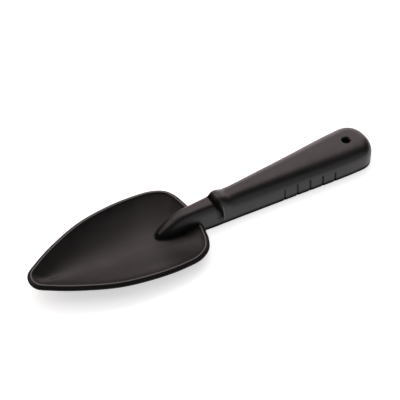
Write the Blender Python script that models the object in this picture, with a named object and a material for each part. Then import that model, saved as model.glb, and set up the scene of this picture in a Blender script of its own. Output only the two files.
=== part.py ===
"""Garden hand trowel: a leaf-shaped dished blade moulded in one with its neck and hollow handle.

Metres, +Z up. The trowel lies on its back. +X runs to the handle's end, the tip is at -X, and
y = 0 is its plane of symmetry. The origin is at the middle of the base, on the surface it lies on.
"""

import bpy
import bmesh
from math import cos, pi, radians, sin
from mathutils import Vector

# Lengths along the trowel
BLADE_LENGTH = 0.1370        # tip to the heel, whose middle bulges out a little further
NECK_LENGTH = 0.0205         # heel to the face of the thumb stop
HANDLE_LENGTH = 0.1425       # face of the thumb stop to the handle's end

# Blade
BLADE_WIDTH = 0.0827
BLADE_WALL = 0.0030          # thickness of the dish
RIM_TIP_HEIGHT = 0.0177      # height of the outer edge at the tip
RIM_SIDE_HEIGHT = 0.0107     # and where the blade is widest
RIM_HEEL_HEIGHT = 0.0112     # and where the heel meets the neck
EDGE_THICKNESS = 0.0012
BEAD_INSET = 0.0028          # crest of the raised bead, in from the outer edge
BEAD_RISE = 0.0016           # crest of the bead above the outer edge
BEAD_RADIUS = 0.0008
FLOOR_HEIGHT = 0.0030        # upper face of the dish at its lowest
FLOOR_LOW_POINT = 0.078      # where that is, from the tip
FLOOR_TIP_RISE = 0.0048      # rise of the floor from there to its end behind the tip
FLOOR_TIP_END = 0.018        # the floor line starts this far behind the tip
FLOOR_HEEL_END = 0.021       # and ends this far ahead of the heel
DISH_ROUNDNESS = 1.9         # 1 is a straight-sided dish, 2 a round one

# Sections of the neck, the thumb stop and the handle: straight walls under a rounded arch
NECK_WALL_HEIGHT = 0.0045
NECK_SQUARENESS = 2.25       # 2 is a round arch, a higher value is boxier
NECK_LEAN = 0.10             # share of the half width by which the walls have come in at the top
HANDLE_WALL_HEIGHT = 0.0070
FRONT_SQUARENESS = 2.6       # at the thumb stop
FRONT_LEAN = 0.20
END_SQUARENESS = 3.0         # at the handle's end
END_LEAN = 0.04

# Neck, which rises out of the dish
NOSE_FROM_TIP = 0.1018
NOSE_LENGTH = 0.0300
NOSE_SHARPNESS = 2.0         # 1 is a wedge in plan, higher is blunter
NOSE_STEEPNESS = 2.8         # the same, seen from the side
NOSE_WALL_DROP = 0.6         # share by which its side walls are lower at the point
NECK_FRONT_WIDTH = 0.0190    # where the nose ends
NECK_TOP = 0.0197

# Thumb stop, a ridge whose steep face bulges towards the blade
STOP_WIDTH = 0.0226
STOP_TOP = 0.0236
STOP_REACH = 0.0063          # the face starts this far ahead, on top of the neck
STOP_BULGE = 3.0             # how fast its foot falls back to the sides
STOP_EDGE_BULGE = 1.5        # and how fast its upper edge does
STOP_ROOT_LENGTH = 0.0014    # from the face's foot to its hollow root
STOP_ROOT_RISE = 0.0006
STOP_FACE_LENGTH = 0.0018    # along the top, from the face's foot to its upper edge
STOP_FACE_RISE = 0.0028
STOP_RIDGE = 0.0012          # the ridge lies this far behind the face's lower corners
STOP_BACK_LENGTH = 0.0085    # from the ridge down to the handle

# Handle
HANDLE_MID_WIDTH = 0.0312
HANDLE_END_WIDTH = 0.0388
HANDLE_FRONT_TOP = 0.0200    # height behind the thumb stop
HANDLE_MID_TOP = 0.0202
HANDLE_END_TOP = 0.0208
HANDLE_FRONT_SWELL = 0.0011  # what the handle's line is narrower by at the heel than at the stop
PLAN_SQUARENESS = 2.3        # of the rounded end, seen from above
END_LENGTH = 0.0165          # length of the rounded end
SHELL_WALL = 0.0024
SHELL_BASE = 0.0003          # lower edge of the shell and of the neck's walls

# Finger grooves in the side walls
GROOVE_COUNT = 5
GROOVE_FIRST = 0.0541        # behind the face of the thumb stop
GROOVE_PITCH = 0.0115
GROOVE_DEPTH = 0.0009
GROOVE_RADIUS = 0.0016
GROOVE_FRONT_HEIGHT = 0.0134
GROOVE_HEIGHT_LOSS = 0.0009  # each groove ends this much lower than the one before

# Hanging hole
HOLE_RADIUS = 0.0033
HOLE_FROM_END = 0.0207
HOLE_TUBE_WALL = 0.0018

# Cover under the handle, and its screws
FIT_GAP = 0.0003
COVER_LEAD = 0.0040          # the cover starts this far ahead of the thumb stop
COVER_THICKNESS = 0.0022
COVER_LEDGE = 0.0014         # outer part of the wall that hides the cover's edge
COVER_LIP_WALL = 0.0015
COVER_LIP_HEIGHT = 0.0022
SCREW_COUNT = 4
SCREW_FIRST = 0.0130         # behind the face of the thumb stop
SCREW_HOLE_SPACE = 0.0150    # last screw to the hanging hole
SCREW_LENGTH = 0.0090
SCREW_SHANK_RADIUS = 0.0013
SCREW_POINT_LENGTH = 0.0026
SCREW_HEAD_RADIUS = 0.0028
SCREW_HEAD_HEIGHT = 0.0016
SCREW_SINK = 0.0006          # head below the cover's outer face
BOSS_WALL = 0.0018
PAD_HEIGHT = 0.0028          # screw pads on the cover's inner face
RIB_THICKNESS = 0.0016

# Fineness of the solids
OUTLINE_STEPS = 4            # between two points of the blade's outline
DISH_RINGS = 7
BEAD_STEPS = 4
ARCH_STEPS = 8
NOSE_STEPS = 9
NOSE_CROWDING = 1.4          # above 1 the sections crowd towards the nose's point
NECK_STEPS = 5
STOP_STEPS = 5
HANDLE_STEPS = 20
END_STEPS = 9
ROUND_SIDES = 24
SMALL_SIDES = 16
SHARP_ANGLE = radians(35)    # edges that turn by less are shaded smooth
MESH_OVERLAP = 0.0001        # stacked cutters overlap by this much
POST_BITE = 0.0012           # the posts inside the shell reach this far into its wall
CUTTER_OVERRUN = 0.002       # cutters run past the faces that they open by this much

TOTAL_LENGTH = BLADE_LENGTH + NECK_LENGTH + HANDLE_LENGTH
TIP_X = -TOTAL_LENGTH / 2
HEEL_X = TIP_X + BLADE_LENGTH
STOP_X = HEEL_X + NECK_LENGTH
END_X = STOP_X + HANDLE_LENGTH
NOSE_X = TIP_X + NOSE_FROM_TIP
HOLE_X = END_X - HOLE_FROM_END
COVER_X = STOP_X - COVER_LEAD
RIDGE_X = STOP_X + STOP_RIDGE
SCREW_LAST_X = HOLE_X - SCREW_HOLE_SPACE
PAD_TOP = COVER_THICKNESS + PAD_HEIGHT

# Half outline of the blade from the tip to the middle of the heel. Each row holds the share of
# the blade's length, the share of its half width, and the share of the way that the edge has come
# down from its height at the tip to that at the sides.
BLADE_OUTLINE = (
    (0.000, 0.000, 0.00),
    (0.017, 0.182, 0.03),
    (0.086, 0.354, 0.07),
    (0.203, 0.577, 0.15),
    (0.406, 0.862, 0.36),
    (0.609, 0.990, 0.62),
    (0.771, 1.012, 0.86),
    (0.885, 0.968, 1.00),
    (0.955, 0.830, 1.00),
    (0.989, 0.630, 1.00),
    (1.002, 0.450, 1.00),
    (1.008, 0.300, 1.00),
    (1.008, 0.120, 1.00),
    (1.008, 0.000, 1.00),
)
# The edge dips from the side height to the heel height over these half widths
HEEL_DIP_START = 0.032
HEEL_DIP_END = 0.009


def clear_scene():
    for old in list(bpy.data.objects):
        bpy.data.objects.remove(old, do_unlink=True)


def collection(name):
    group = bpy.data.collections.new(name)
    bpy.context.scene.collection.children.link(group)
    return group


def finish(name, colour, roughness, metallic=0.0):
    material = bpy.data.materials.new(name)
    material.use_nodes = True
    shader = material.node_tree.nodes["Principled BSDF"]
    shader.inputs["Base Color"].default_value = (*colour, 1.0)
    shader.inputs["Roughness"].default_value = roughness
    shader.inputs["Metallic"].default_value = metallic
    return material


def mesh_object(name, bm, group):
    """Merge what meets, drop faces without area, and turn every face outwards."""
    bmesh.ops.remove_doubles(bm, verts=bm.verts, dist=1e-6)
    bmesh.ops.dissolve_degenerate(bm, edges=bm.edges, dist=1e-6)
    bmesh.ops.recalc_face_normals(bm, faces=bm.faces)
    if bm.calc_volume(signed=True) < 0:
        bmesh.ops.reverse_faces(bm, faces=bm.faces)
    mesh = bpy.data.meshes.new(name)
    bm.to_mesh(mesh)
    bm.free()
    made = bpy.data.objects.new(name, mesh)
    group.objects.link(made)
    return made


def closed_curve(points, steps):
    """Points on a closed Catmull-Rom curve through the given points."""
    curve = []
    for i in range(len(points)):
        a, b, c, d = (points[(i + k) % len(points)] for k in (-1, 0, 1, 2))
        knots = [0.0]
        for start, end in ((a, b), (b, c), (c, d)):
            knots.append(knots[-1] + (end - start).length ** 0.5)
        for step in range(steps):
            t = knots[1] + (knots[2] - knots[1]) * step / steps
            ab = a.lerp(b, (t - knots[0]) / (knots[1] - knots[0]))
            bc = b.lerp(c, (t - knots[1]) / (knots[2] - knots[1]))
            cd = c.lerp(d, (t - knots[2]) / (knots[3] - knots[2]))
            abc = ab.lerp(bc, (t - knots[0]) / (knots[2] - knots[0]))
            bcd = bc.lerp(cd, (t - knots[1]) / (knots[3] - knots[1]))
            curve.append(abc.lerp(bcd, (t - knots[1]) / (knots[2] - knots[1])))
    return curve


def follow(stations, x):
    """Value at x of a smooth line through (x, value) stations, level at both ends."""
    if x <= stations[0][0]:
        return stations[0][1]
    if x >= stations[-1][0]:
        return stations[-1][1]
    slopes = [0.0]
    for before, after in zip(stations, stations[2:]):
        slopes.append((after[1] - before[1]) / (after[0] - before[0]))
    slopes.append(0.0)
    for i in range(len(stations) - 1):
        (x0, v0), (x1, v1) = stations[i], stations[i + 1]
        if x <= x1:
            span = x1 - x0
            t = (x - x0) / span
            rise = v1 - v0
            return (v0 + rise * t * t * (3 - 2 * t)
                    + span * slopes[i] * t * (1 - t) ** 2
                    - span * slopes[i + 1] * t * t * (1 - t))


def spread(start, end, steps):
    """Evenly spaced values from start to end, with both."""
    return [start + (end - start) * i / steps for i in range(steps + 1)]


def eased(t):
    t = min(max(t, 0.0), 1.0)
    return t * t * (3 - 2 * t)


def blade_edge():
    """The closed outer edge of the blade, from the tip round the -Y side and back."""
    half = []
    for along, across, down in BLADE_OUTLINE:
        x = TIP_X + along * BLADE_LENGTH
        y = -across * BLADE_WIDTH / 2
        z = RIM_TIP_HEIGHT + (RIM_SIDE_HEIGHT - RIM_TIP_HEIGHT) * down
        half.append(Vector((x, y, z)))
    mirrored = [Vector((p.x, -p.y, p.z)) for p in half[-2:0:-1]]
    curve = closed_curve(half + mirrored, OUTLINE_STEPS)
    for point in curve:
        if point.x > NOSE_X:
            dip = eased((HEEL_DIP_START - abs(point.y)) / (HEEL_DIP_START - HEEL_DIP_END))
            point.z += (RIM_HEEL_HEIGHT - RIM_SIDE_HEIGHT) * dip
    return curve


def inward(curve):
    """Unit directions in plan that point from the closed curve to its inside."""
    turned = []
    for i, point in enumerate(curve):
        along = curve[(i + 1) % len(curve)] - curve[i - 1]
        turned.append(Vector((-along.y, along.x, 0)).normalized())
    return turned


def floor_height(x):
    low = TIP_X + FLOOR_LOW_POINT
    reach = FLOOR_LOW_POINT - FLOOR_TIP_END
    return FLOOR_HEIGHT + FLOOR_TIP_RISE * ((x - low) / reach) ** 2


def blade_rings():
    """Closed rings of the blade, from the floor line over the bead to the edge and back below."""
    edge = blade_edge()
    inner = inward(edge)
    bead = []
    for step in range(BEAD_STEPS + 1):
        turn = pi * step / BEAD_STEPS
        bead.append((BEAD_INSET + BEAD_RADIUS * cos(turn), BEAD_RISE + BEAD_RADIUS * (sin(turn) - 1)))
    foot_inset, foot_rise = bead[0]
    under_edge = (0.0, -EDGE_THICKNESS)
    under_foot = (foot_inset, foot_rise - BLADE_WALL)
    rim = [*bead, (0.0, 0.0), under_edge, under_foot]
    floor_start = TIP_X + FLOOR_TIP_END
    floor_end = HEEL_X - FLOOR_HEEL_END
    dish = []
    for step in range(DISH_RINGS, 0, -1):
        t = step / DISH_RINGS
        ring = []
        for point, direction in zip(edge, inner):
            foot = point + direction * foot_inset + Vector((0, 0, foot_rise))
            share = (foot.x - TIP_X) / BLADE_LENGTH
            low = Vector((floor_start + (floor_end - floor_start) * share, 0, 0))
            low.z = floor_height(low.x)
            place = foot.lerp(low, t)
            place.z = low.z + (foot.z - low.z) * (1 - t) ** DISH_ROUNDNESS
            ring.append(place)
        dish.append(ring)
    rings = list(dish)
    for inset, rise in rim:
        rings.append([p + d * inset + Vector((0, 0, rise)) for p, d in zip(edge, inner)])
    for ring in reversed(dish):
        rings.append([p - Vector((0, 0, BLADE_WALL)) for p in ring])
    return rings


def bridge(bm, rings):
    """Quads between neighbouring closed rings of equal length."""
    grid = [[bm.verts.new(p) for p in ring] for ring in rings]
    count = len(grid[0])
    for lower, upper in zip(grid, grid[1:]):
        for i in range(count):
            j = (i + 1) % count
            bm.faces.new((lower[i], lower[j], upper[j], upper[i]))
    return grid


def close_line(bm, ring):
    """Zip a flattened ring shut by merging each vertex with the one across the floor line."""
    count = len(ring)
    targets = {ring[-i % count]: ring[i] for i in range(1, (count + 1) // 2)}
    bmesh.ops.weld_verts(bm, targetmap=targets)


def blade(group):
    """The dished sheet with its rim: the first solid of the moulding."""
    bm = bmesh.new()
    grid = bridge(bm, blade_rings())
    close_line(bm, grid[0])
    close_line(bm, grid[-1])
    return mesh_object("trowel_body", bm, group)


def neck_width(x):
    return follow(((NOSE_X + NOSE_LENGTH, NECK_FRONT_WIDTH / 2), (STOP_X, STOP_WIDTH / 2)), x)


def handle_width(x):
    swell = (STOP_X + END_X - END_LENGTH) / 2
    stations = (
        (STOP_X - NECK_LENGTH, STOP_WIDTH / 2 - HANDLE_FRONT_SWELL),
        (STOP_X, STOP_WIDTH / 2),
        (swell, HANDLE_MID_WIDTH / 2),
        (END_X - END_LENGTH, HANDLE_END_WIDTH / 2),
    )
    return follow(stations, x)


def handle_top(x):
    """Height of the crown, from the stop's ridge to the handle's end."""
    back = RIDGE_X + STOP_BACK_LENGTH
    if x < back:
        return STOP_TOP + (HANDLE_FRONT_TOP - STOP_TOP) * eased((x - RIDGE_X) / STOP_BACK_LENGTH)
    straight_end = END_X - END_LENGTH
    middle = (back + straight_end) / 2
    stations = ((back, HANDLE_FRONT_TOP), (middle, HANDLE_MID_TOP), (straight_end, HANDLE_END_TOP))
    return follow(stations, x)


class Column:
    """One cross-section of the neck or the handle: straight walls under a rounded arch.

    Its top may lie at another x than its walls, and bulge says how the rows between follow.
    """

    def __init__(self, x, half_width, top, wall_height=NECK_WALL_HEIGHT,
                 squareness=NECK_SQUARENESS, lean=NECK_LEAN, apex_x=None, bulge=1.0):
        self.x = x
        self.half_width = half_width
        self.top = top
        self.wall_height = wall_height
        self.squareness = squareness
        self.lean = lean
        self.apex_x = x if apex_x is None else apex_x
        self.bulge = bulge

    def points(self, side, base):
        rows = [Vector((self.x, self.half_width, base)),
                Vector((self.x, self.half_width, self.wall_height))]
        for step in range(1, ARCH_STEPS + 1):
            angle = pi / 2 * step / ARCH_STEPS
            across = cos(angle) ** (2 / self.squareness) if step < ARCH_STEPS else 0.0
            up = sin(angle) ** (2 / self.squareness)
            x = self.apex_x + (self.x - self.apex_x) * across ** self.bulge
            z = self.wall_height + (self.top - self.wall_height) * up
            rows.append(Vector((x, self.half_width * across, z)))
        for row in rows:
            row.y *= side * (1 - self.lean * row.z / self.top)
        return rows


def arch_solid(name, columns, base, group):
    """A closed solid over a flat base, through the columns in order."""
    bm = bmesh.new()
    sides = []
    for side in (-1, 1):
        sides.append([[bm.verts.new(p) for p in column.points(side, base)] for column in columns])
    for rows in sides:
        for left, right in zip(rows, rows[1:]):
            for k in range(len(left) - 1):
                bm.faces.new((left[k], right[k], right[k + 1], left[k + 1]))
    near, far = sides
    for i in range(len(columns) - 1):
        bm.faces.new((near[i][0], near[i + 1][0], far[i + 1][0], far[i][0]))
    for i in (0, -1):
        if columns[i].half_width > 0:
            for k in range(len(near[i]) - 1):
                bm.faces.new((near[i][k], near[i][k + 1], far[i][k + 1], far[i][k]))
    return mesh_object(name, bm, group)


def neck_columns(inset=0.0, x_end=STOP_X - STOP_REACH - FIT_GAP):
    """Columns from the nose's point to x_end, drawn in by inset for the hollow below."""
    columns = []
    nose = NOSE_X + inset
    apex = NOSE_X + NOSE_LENGTH
    foot = floor_height(NOSE_X) - FIT_GAP
    for step in range(NOSE_STEPS):
        share = (step / NOSE_STEPS) ** NOSE_CROWDING
        width = (neck_width(apex) - inset) * (1 - (1 - share) ** NOSE_SHARPNESS)
        rise = 1 - (1 - share) ** NOSE_STEEPNESS
        top = foot + (NECK_TOP - inset - foot) * rise
        wall = NECK_WALL_HEIGHT - (NECK_WALL_HEIGHT - SHELL_BASE) * NOSE_WALL_DROP * (1 - rise)
        columns.append(Column(nose + (apex - nose) * share, width, top, wall))
    for x in spread(apex, x_end, NECK_STEPS):
        columns.append(Column(x, neck_width(x) - inset, NECK_TOP - inset))
    return columns


def stop_columns():
    """The stop's hollowed face: its foot on the neck, its root, and its upper edge."""
    foot_x = STOP_X - STOP_REACH
    root_x = foot_x + STOP_ROOT_LENGTH
    edge_x = foot_x + STOP_FACE_LENGTH
    width = STOP_WIDTH / 2
    foot = Column(STOP_X - FIT_GAP, width, NECK_TOP, apex_x=foot_x, bulge=STOP_BULGE)
    root = Column(STOP_X, width, NECK_TOP + STOP_ROOT_RISE, apex_x=root_x, bulge=STOP_BULGE)
    edge = Column(STOP_X + FIT_GAP, width, NECK_TOP + STOP_FACE_RISE, HANDLE_WALL_HEIGHT,
                  FRONT_SQUARENESS, FRONT_LEAN, edge_x, STOP_EDGE_BULGE)
    return [foot, root, edge]


def handle_columns(x_start, x_end, inset=0.0):
    """Columns of the handle, with its rounded end where x_end reaches that far."""
    straight_end = END_X - END_LENGTH
    back = RIDGE_X + STOP_BACK_LENGTH
    stations = spread(RIDGE_X, back, STOP_STEPS)
    stations += spread(back, straight_end, HANDLE_STEPS)[1:]
    stop = min(x_end, straight_end)
    inside = [x for x in stations if x_start + FIT_GAP < x < stop - FIT_GAP]
    columns = [handle_column(x, inset) for x in (x_start, *inside, stop)]
    if x_end > straight_end:
        last = columns[-1]
        for step in range(1, END_STEPS + 1):
            angle = pi / 2 * step / END_STEPS
            x = straight_end + (x_end - straight_end) * sin(angle) ** (2 / PLAN_SQUARENESS)
            width = last.half_width * cos(angle) ** (2 / PLAN_SQUARENESS) if step < END_STEPS else 0.0
            columns.append(Column(x, width, last.top, last.wall_height, last.squareness, last.lean,
                                  straight_end))
    return columns


def handle_column(x, inset):
    """The arch gets boxier and its walls more upright towards the handle's end."""
    along = (x - RIDGE_X) / (END_X - END_LENGTH - RIDGE_X)
    squareness = FRONT_SQUARENESS + (END_SQUARENESS - FRONT_SQUARENESS) * along
    lean = FRONT_LEAN + (END_LEAN - FRONT_LEAN) * along
    return Column(x, handle_width(x) - inset, handle_top(x) - inset, HANDLE_WALL_HEIGHT, squareness,
                  lean)


def prism(name, columns, low, high, group):
    """A flat solid between two heights, whose outline follows the columns."""
    bm = bmesh.new()
    outline = [(c.x, -c.half_width) for c in columns]
    outline += [(c.x, c.half_width) for c in reversed(columns) if c.half_width > 0]
    flat = bm.faces.new([bm.verts.new((x, y, low)) for x, y in outline])
    raised = bmesh.ops.extrude_face_region(bm, geom=[flat])["geom"]
    corners = [item for item in raised if isinstance(item, bmesh.types.BMVert)]
    bmesh.ops.translate(bm, verts=corners, vec=(0, 0, high - low))
    return mesh_object(name, bm, group)


def rod(name, x, y, radius, low, high, group, sides=ROUND_SIDES):
    bm = bmesh.new()
    bmesh.ops.create_cone(bm, cap_ends=True, segments=sides, radius1=radius, radius2=radius,
                          depth=high - low)
    bmesh.ops.translate(bm, verts=bm.verts, vec=(x, y, (low + high) / 2))
    return mesh_object(name, bm, group)


def combine(target, others, operation):
    """Boolean the other objects into the target, and keep them as hidden guides."""
    for other in others:
        modifier = target.modifiers.new(other.name, "BOOLEAN")
        modifier.operation = operation
        modifier.object = other
        modifier.solver = "EXACT"
        other.hide_render = True
        other.display_type = "WIRE"


def settle(piece, material):
    """Make the cut shape the piece's own mesh, in its material, smooth apart from its edges."""
    depsgraph = bpy.context.evaluated_depsgraph_get()
    shaped = bpy.data.meshes.new_from_object(piece.evaluated_get(depsgraph))
    piece.modifiers.clear()
    piece.data = shaped
    shaped.materials.clear()
    shaped.materials.append(material)
    shaped.shade_smooth()
    shaped.set_sharp_from_angle(angle=SHARP_ANGLE)


def screw_places():
    first = STOP_X + SCREW_FIRST
    gaps = SCREW_COUNT - 1
    return [first + (SCREW_LAST_X - first) * i / gaps for i in range(SCREW_COUNT)]


def trowel_body(parts, cutters):
    """Blade, neck, thumb stop and the handle's upper shell, moulded as one piece."""
    body = blade(parts)
    columns = neck_columns() + stop_columns() + handle_columns(RIDGE_X, END_X)
    combine(body, [arch_solid("grip", columns, SHELL_BASE, cutters)], "UNION")
    combine(body, hollows(cutters), "DIFFERENCE")
    combine(body, posts(cutters), "UNION")
    combine(body, bores(cutters) + grooves(cutters), "DIFFERENCE")
    return body


def hollows(cutters):
    """The neck's channel, the handle's chambers between ribs, and the room for the cover."""
    below = -CUTTER_OVERRUN
    ceiling = PAD_TOP + FIT_GAP
    channel = neck_columns(SHELL_WALL, COVER_X - SHELL_WALL)
    made = [arch_solid("neck_channel", channel, below, cutters)]
    places = screw_places()
    ribs = [(a + b) / 2 for a, b in zip(places, places[1:])]
    starts = [STOP_X + SHELL_WALL] + [rib + RIB_THICKNESS / 2 for rib in ribs]
    ends = [rib - RIB_THICKNESS / 2 for rib in ribs] + [END_X - SHELL_WALL]
    for number, (start, end) in enumerate(zip(starts, ends)):
        chamber = handle_columns(start, end, SHELL_WALL)
        made.append(arch_solid(f"chamber_{number}", chamber, ceiling - MESH_OVERLAP, cutters))
    floor = handle_columns(COVER_X + SHELL_WALL, END_X - SHELL_WALL, SHELL_WALL)
    made.append(prism("cover_space", floor, below, ceiling, cutters))
    seat = handle_columns(COVER_X, END_X - COVER_LEDGE, COVER_LEDGE)
    made.append(prism("cover_seat", seat, below, COVER_THICKNESS + FIT_GAP, cutters))
    return made


def posts(cutters):
    """Bosses for the screws and the tube round the hanging hole, inside the shell."""
    made = []
    for number, x in enumerate(screw_places()):
        radius = SCREW_SHANK_RADIUS + FIT_GAP + BOSS_WALL
        top = handle_top(x) - SHELL_WALL + POST_BITE
        made.append(rod(f"boss_{number}", x, 0, radius, PAD_TOP + FIT_GAP, top, cutters))
    top = handle_top(HOLE_X) - SHELL_WALL + POST_BITE
    made.append(rod("hole_tube", HOLE_X, 0, HOLE_RADIUS + HOLE_TUBE_WALL,
                    COVER_THICKNESS + FIT_GAP, top, cutters))
    return made


def bores(cutters):
    top = handle_top(HOLE_X) + CUTTER_OVERRUN
    made = [rod("hanging_hole", HOLE_X, 0, HOLE_RADIUS, -CUTTER_OVERRUN, top, cutters)]
    pilot_top = SCREW_SINK + SCREW_HEAD_HEIGHT + SCREW_LENGTH + FIT_GAP
    for number, x in enumerate(screw_places()):
        made.append(rod(f"pilot_{number}", x, 0, SCREW_SHANK_RADIUS + FIT_GAP, -CUTTER_OVERRUN,
                        pilot_top, cutters, SMALL_SIDES))
    return made


def grooves(cutters):
    """Upright finger grooves in both side walls."""
    made = []
    for number in range(GROOVE_COUNT):
        x = STOP_X + GROOVE_FIRST + number * GROOVE_PITCH
        high = GROOVE_FRONT_HEIGHT - number * GROOVE_HEIGHT_LOSS
        for side, word in ((-1, "right"), (1, "left")):
            y = side * (handle_width(x) + GROOVE_RADIUS - GROOVE_DEPTH)
            groove = rod(f"groove_{word}_{number}", x, y, GROOVE_RADIUS, -CUTTER_OVERRUN, high,
                         cutters, SMALL_SIDES)
            wall = handle_column(x, 0)
            for vertex in groove.data.vertices:
                vertex.co.y -= side * wall.half_width * wall.lean * vertex.co.z / wall.top
            made.append(groove)
    return made


def back_cover(parts, cutters):
    """Flat cover that closes the hollow handle from below, with a lip that locates it."""
    edge = COVER_LEDGE + FIT_GAP
    plate = handle_columns(COVER_X + FIT_GAP, END_X - edge, edge)
    cover = prism("handle_back_cover", plate, 0, COVER_THICKNESS, parts)
    lip_out = SHELL_WALL + FIT_GAP
    lip_in = lip_out + COVER_LIP_WALL
    lip_top = COVER_THICKNESS + COVER_LIP_HEIGHT
    front = COVER_X + SHELL_WALL + FIT_GAP
    outer = prism("lip_outside", handle_columns(front, END_X - lip_out, lip_out),
                  COVER_THICKNESS / 2, lip_top, cutters)
    inner = prism("lip_inside", handle_columns(front + COVER_LIP_WALL, END_X - lip_in, lip_in),
                  COVER_THICKNESS, lip_top + CUTTER_OVERRUN, cutters)
    combine(cover, [outer], "UNION")
    combine(cover, [inner], "DIFFERENCE")
    pads = []
    holes = [rod("cover_hole", HOLE_X, 0, HOLE_RADIUS, -CUTTER_OVERRUN, lip_top, cutters)]
    for number, x in enumerate(screw_places()):
        radius = SCREW_HEAD_RADIUS + FIT_GAP + BOSS_WALL
        pads.append(rod(f"pad_{number}", x, 0, radius, COVER_THICKNESS / 2, PAD_TOP, cutters))
        holes.append(rod(f"counterbore_{number}", x, 0, SCREW_HEAD_RADIUS + FIT_GAP,
                         -CUTTER_OVERRUN, SCREW_SINK + SCREW_HEAD_HEIGHT + FIT_GAP, cutters))
        holes.append(rod(f"clearance_{number}", x, 0, SCREW_SHANK_RADIUS + FIT_GAP,
                         -CUTTER_OVERRUN, PAD_TOP + CUTTER_OVERRUN, cutters, SMALL_SIDES))
    combine(cover, pads, "UNION")
    combine(cover, holes, "DIFFERENCE")
    return cover


def cover_screw(number, x, parts):
    """Self-tapping screw with a flat head, a turned profile."""
    bm = bmesh.new()
    head_top = SCREW_SINK + SCREW_HEAD_HEIGHT
    profile = (
        (0, SCREW_SINK),
        (SCREW_HEAD_RADIUS, SCREW_SINK),
        (SCREW_HEAD_RADIUS, head_top),
        (SCREW_SHANK_RADIUS, head_top),
        (SCREW_SHANK_RADIUS, head_top + SCREW_LENGTH - SCREW_POINT_LENGTH),
        (0, head_top + SCREW_LENGTH),
    )
    points = [bm.verts.new((x + radius, 0, z)) for radius, z in profile]
    edges = [bm.edges.new(pair) for pair in zip(points, points[1:])]
    bmesh.ops.spin(bm, geom=points + edges, cent=(x, 0, 0), axis=(0, 0, 1), angle=2 * pi,
                   steps=SMALL_SIDES, use_merge=True)
    return mesh_object(f"cover_screw_{number}", bm, parts)


def main():
    clear_scene()
    parts = collection("garden_trowel")
    cutters = collection("cutters")
    black = finish("black_plastic", (0.018, 0.016, 0.015), 0.48)
    cover_black = finish("cover_plastic", (0.020, 0.018, 0.017), 0.55)
    steel = finish("zinc_steel", (0.55, 0.56, 0.57), 0.35, 1.0)
    settle(trowel_body(parts, cutters), black)
    settle(back_cover(parts, cutters), cover_black)
    for number, x in enumerate(screw_places(), start=1):
        settle(cover_screw(number, x, parts), steel)


main()
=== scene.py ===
# %% [markdown]
# # A black plastic hand trowel
# The trowel is one thin moulding: a dished, leaf-shaped blade, an arched neck and a hollow
# handle. Under the handle lies a flat cover, held by four screws. The construction is already
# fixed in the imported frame, so this lesson only makes what is seen: the fine surface of the
# moulding, the screws, the plastic and the light.

# %% The frame
from dataclasses import dataclass
from math import cos, pi, radians, sin

import bpy
import bmesh
from mathutils import Matrix, Vector
from mathutils.kdtree import KDTree


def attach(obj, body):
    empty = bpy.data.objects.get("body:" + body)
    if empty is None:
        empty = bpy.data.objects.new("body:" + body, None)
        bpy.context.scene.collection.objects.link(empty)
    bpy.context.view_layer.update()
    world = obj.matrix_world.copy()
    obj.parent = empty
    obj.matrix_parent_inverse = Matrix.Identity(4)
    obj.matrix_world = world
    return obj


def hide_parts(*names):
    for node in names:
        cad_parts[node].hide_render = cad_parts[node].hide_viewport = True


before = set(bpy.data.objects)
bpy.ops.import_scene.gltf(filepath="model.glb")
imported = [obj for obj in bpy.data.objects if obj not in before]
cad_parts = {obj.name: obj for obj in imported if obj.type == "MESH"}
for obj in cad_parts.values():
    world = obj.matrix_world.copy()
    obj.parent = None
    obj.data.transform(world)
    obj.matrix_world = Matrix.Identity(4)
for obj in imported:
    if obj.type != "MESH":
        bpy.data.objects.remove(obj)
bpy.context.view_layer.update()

# %% [markdown]
# ## Camera
# The photograph looks down at the trowel from the front left, from well above. The camera could
# be placed by hand, but a photographer's numbers are easier to correct: how far round, how high,
# how far away and how tilted. A long lens keeps handle and blade at nearly the same scale.

# %% Camera
VIEW_TURN = radians(-29.6)  # round the upright axis
VIEW_HEIGHT = radians(48.0)  # above the floor
VIEW_ROLL = radians(-1.02)
VIEW_DISTANCE = 0.7987
VIEW_TARGET = Vector((0, 0, 0.010))
PIXELS_PER_METRE = 1290  # at the target, in a picture 400 pixels wide
PICTURE_SIZE = 400
TARGET_PIXEL = (208.2, 209.9)  # where the target lies in the picture
SENSOR_WIDTH = 36
NEAREST_SEEN = 0.01


def photo_camera():
    level = Vector((cos(VIEW_TURN), sin(VIEW_TURN), 0))
    away = Vector((sin(VIEW_TURN) * cos(VIEW_HEIGHT), -cos(VIEW_TURN) * cos(VIEW_HEIGHT),
                   sin(VIEW_HEIGHT)))
    upward = away.cross(level)
    right = level * cos(VIEW_ROLL) + upward * sin(VIEW_ROLL)
    up = upward * cos(VIEW_ROLL) - level * sin(VIEW_ROLL)
    data = bpy.data.cameras.new("photo_camera")
    data.sensor_width = SENSOR_WIDTH
    data.lens = PIXELS_PER_METRE * VIEW_DISTANCE / PICTURE_SIZE * SENSOR_WIDTH
    data.shift_x = (PICTURE_SIZE / 2 - TARGET_PIXEL[0]) / PICTURE_SIZE
    data.shift_y = (TARGET_PIXEL[1] - PICTURE_SIZE / 2) / PICTURE_SIZE
    data.clip_start = NEAREST_SEEN
    camera = bpy.data.objects.new("photo_camera", data)
    turned = Matrix((right, up, away)).transposed().to_4x4()
    camera.matrix_world = Matrix.Translation(VIEW_TARGET + away * VIEW_DISTANCE) @ turned
    bpy.context.scene.collection.objects.link(camera)
    return camera


bpy.context.scene.camera = photo_camera()
print("camera lens in mm:", round(bpy.context.scene.camera.data.lens, 1))

# %% [markdown]
# ## Writing node trees as sums
# A node tree reads better as arithmetic than as a list of links. `Socket` wraps one output of a
# node. Adding, multiplying or dividing two of them makes the Math node that does it, so a
# pattern can be written as one expression. `Tree.node` makes every other kind of node.

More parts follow.
